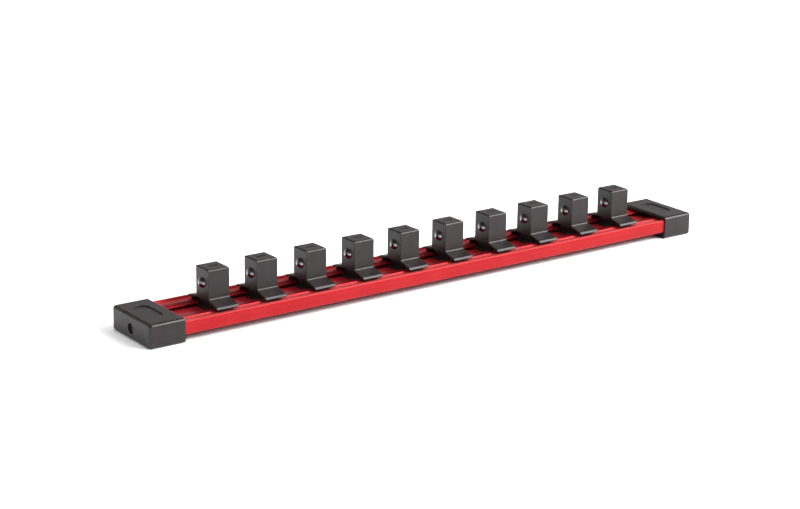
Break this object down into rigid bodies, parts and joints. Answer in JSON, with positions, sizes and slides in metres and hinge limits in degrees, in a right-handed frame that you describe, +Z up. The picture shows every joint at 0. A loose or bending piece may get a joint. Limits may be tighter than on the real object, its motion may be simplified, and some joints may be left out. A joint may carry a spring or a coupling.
{
  "type": "socket rail",
  "caption": "Low slotted rail with end caps and a row of sliding clips, each with a square drive post and sprung ball that holds a socket.",
  "frame": {"origin": "middle of the resting surface, under the rail's centre", "axes": "+X along the rail, away from the faces that hold the balls; +Y across the rail; +Z up, along the drive posts"},
  "size_m": [0.368, 0.0394, 0.0307],
  "materials": {
    "rail_red": "red anodised aluminium extrusion, semi-gloss, with faint lines along its length",
    "moulding_black": "charcoal moulded plastic, satin, with softly rounded edges",
    "ball_steel": "polished bearing steel",
    "spring_wire": "drawn spring wire",
    "screw_dark": "black oxide steel"
  },
  "bodies": {
    "root": {"rail": "rail_red", "end_cap_left": "moulding_black", "end_cap_right": "moulding_black", "end_screw_left": "screw_dark", "end_screw_right": "screw_dark"},
    "clip_01": {"clip_01": "moulding_black", "spring_01": "spring_wire"},
    "clip_02": {"clip_02": "moulding_black", "spring_02": "spring_wire"},
    "clip_03": {"clip_03": "moulding_black", "spring_03": "spring_wire"},
    "clip_04": {"clip_04": "moulding_black", "spring_04": "spring_wire"},
    "clip_05": {"clip_05": "moulding_black", "spring_05": "spring_wire"},
    "clip_06": {"clip_06": "moulding_black", "spring_06": "spring_wire"},
    "clip_07": {"clip_07": "moulding_black", "spring_07": "spring_wire"},
    "clip_08": {"clip_08": "moulding_black", "spring_08": "spring_wire"},
    "clip_09": {"clip_09": "moulding_black", "spring_09": "spring_wire"},
    "clip_10": {"clip_10": "moulding_black", "spring_10": "spring_wire"},
    "ball_01": {"ball_01": "ball_steel"},
    "ball_02": {"ball_02": "ball_steel"},
    "ball_03": {"ball_03": "ball_steel"},
    "ball_04": {"ball_04": "ball_steel"},
    "ball_05": {"ball_05": "ball_steel"},
    "ball_06": {"ball_06": "ball_steel"},
    "ball_07": {"ball_07": "ball_steel"},
    "ball_08": {"ball_08": "ball_steel"},
    "ball_09": {"ball_09": "ball_steel"},
    "ball_10": {"ball_10": "ball_steel"}
  },
  "joints": [
    {"name": "clip_01_slide", "type": "slide", "parent": "root", "child": "clip_01", "axis": [1, 0, 0], "range_m": [-0.02105, 0.0142]},
    {"name": "clip_02_slide", "type": "slide", "parent": "root", "child": "clip_02", "axis": [1, 0, 0], "range_m": [-0.0142, 0.0157]},
    {"name": "clip_03_slide", "type": "slide", "parent": "root", "child": "clip_03", "axis": [1, 0, 0], "range_m": [-0.0157, 0.0157]},
    {"name": "clip_04_slide", "type": "slide", "parent": "root", "child": "clip_04", "axis": [1, 0, 0], "range_m": [-0.0157, 0.0154]},
    {"name": "clip_05_slide", "type": "slide", "parent": "root", "child": "clip_05", "axis": [1, 0, 0], "range_m": [-0.0154, 0.0154]},
    {"name": "clip_06_slide", "type": "slide", "parent": "root", "child": "clip_06", "axis": [1, 0, 0], "range_m": [-0.0154, 0.0154]},
    {"name": "clip_07_slide", "type": "slide", "parent": "root", "child": "clip_07", "axis": [1, 0, 0], "range_m": [-0.0154, 0.0154]},
    {"name": "clip_08_slide", "type": "slide", "parent": "root", "child": "clip_08", "axis": [1, 0, 0], "range_m": [-0.0154, 0.0154]},
    {"name": "clip_09_slide", "type": "slide", "parent": "root", "child": "clip_09", "axis": [1, 0, 0], "range_m": [-0.0154, 0.0154]},
    {"name": "clip_10_slide", "type": "slide", "parent": "root", "child": "clip_10", "axis": [1, 0, 0], "range_m": [-0.0154, 0.01825]},
    {"name": "ball_01_press", "type": "slide", "parent": "clip_01", "child": "ball_01", "axis": [1, 0, 0], "range_m": [0, 0.0021], "stiffness_N_per_m": 1200, "springref_m": -0.002, "deforming": ["spring_01"]},
    {"name": "ball_02_press", "type": "slide", "parent": "clip_02", "child": "ball_02", "axis": [1, 0, 0], "range_m": [0, 0.0021], "stiffness_N_per_m": 1200, "springref_m": -0.002, "deforming": ["spring_02"]},
    {"name": "ball_03_press", "type": "slide", "parent": "clip_03", "child": "ball_03", "axis": [1, 0, 0], "range_m": [0, 0.0021], "stiffness_N_per_m": 1200, "springref_m": -0.002, "deforming": ["spring_03"]},
    {"name": "ball_04_press", "type": "slide", "parent": "clip_04", "child": "ball_04", "axis": [1, 0, 0], "range_m": [0, 0.0021], "stiffness_N_per_m": 1200, "springref_m": -0.002, "deforming": ["spring_04"]},
    {"name": "ball_05_press", "type": "slide", "parent": "clip_05", "child": "ball_05", "axis": [1, 0, 0], "range_m": [0, 0.0021], "stiffness_N_per_m": 1200, "springref_m": -0.002, "deforming": ["spring_05"]},
    {"name": "ball_06_press", "type": "slide", "parent": "clip_06", "child": "ball_06", "axis": [1, 0, 0], "range_m": [0, 0.0021], "stiffness_N_per_m": 1200, "springref_m": -0.002, "deforming": ["spring_06"]},
    {"name": "ball_07_press", "type": "slide", "parent": "clip_07", "child": "ball_07", "axis": [1, 0, 0], "range_m": [0, 0.0021], "stiffness_N_per_m": 1200, "springref_m": -0.002, "deforming": ["spring_07"]},
    {"name": "ball_08_press", "type": "slide", "parent": "clip_08", "child": "ball_08", "axis": [1, 0, 0], "range_m": [0, 0.0021], "stiffness_N_per_m": 1200, "springref_m": -0.002, "deforming": ["spring_08"]},
    {"name": "ball_09_press", "type": "slide", "parent": "clip_09", "child": "ball_09", "axis": [1, 0, 0], "range_m": [0, 0.0021], "stiffness_N_per_m": 1200, "springref_m": -0.002, "deforming": ["spring_09"]},
    {"name": "ball_10_press", "type": "slide", "parent": "clip_10", "child": "ball_10", "axis": [1, 0, 0], "range_m": [0, 0.0021], "stiffness_N_per_m": 1200, "springref_m": -0.002, "deforming": ["spring_10"]}
  ]
}
